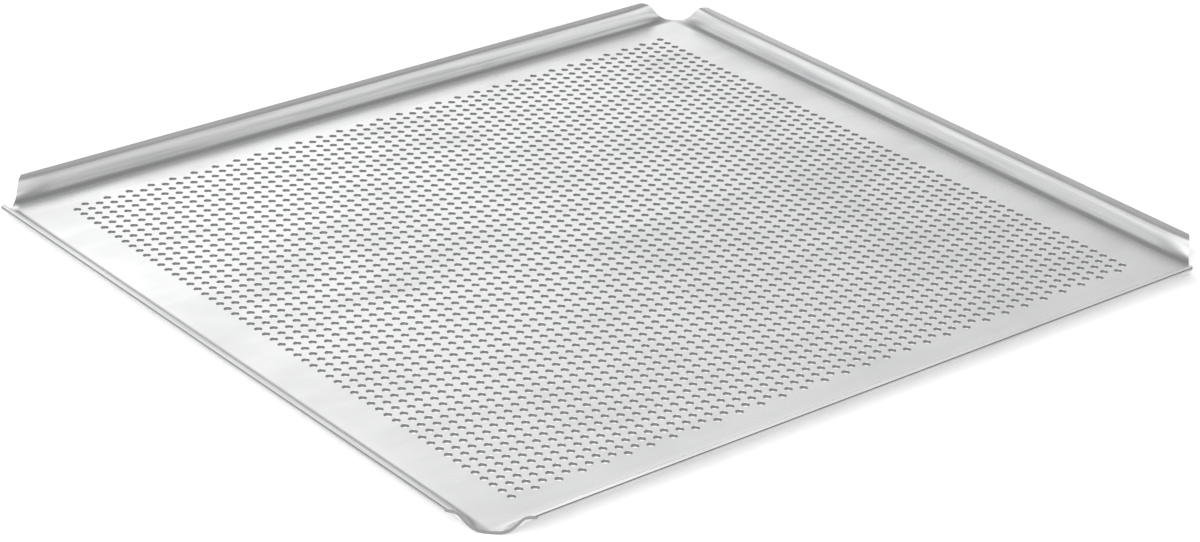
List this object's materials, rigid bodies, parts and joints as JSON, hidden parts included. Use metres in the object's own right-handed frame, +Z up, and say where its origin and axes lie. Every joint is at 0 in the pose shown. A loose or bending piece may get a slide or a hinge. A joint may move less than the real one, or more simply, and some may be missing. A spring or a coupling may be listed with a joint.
{
  "type": "baking tray",
  "caption": "Shallow perforated baking tray pressed from one aluminium sheet, with four sloped rims and open, cut-off corners.",
  "frame": {"origin": "centre of the flat underside, on the surface that the tray rests on", "axes": "+X along the long side, +Y along the short side, +Z up out of the tray"},
  "size_m": [0.355, 0.327, 0.0083],
  "materials": {
    "bare_aluminium": "satin"
  },
  "bodies": {
    "root": {"tray_sheet": "bare_aluminium"}
  },
  "joints": []
}
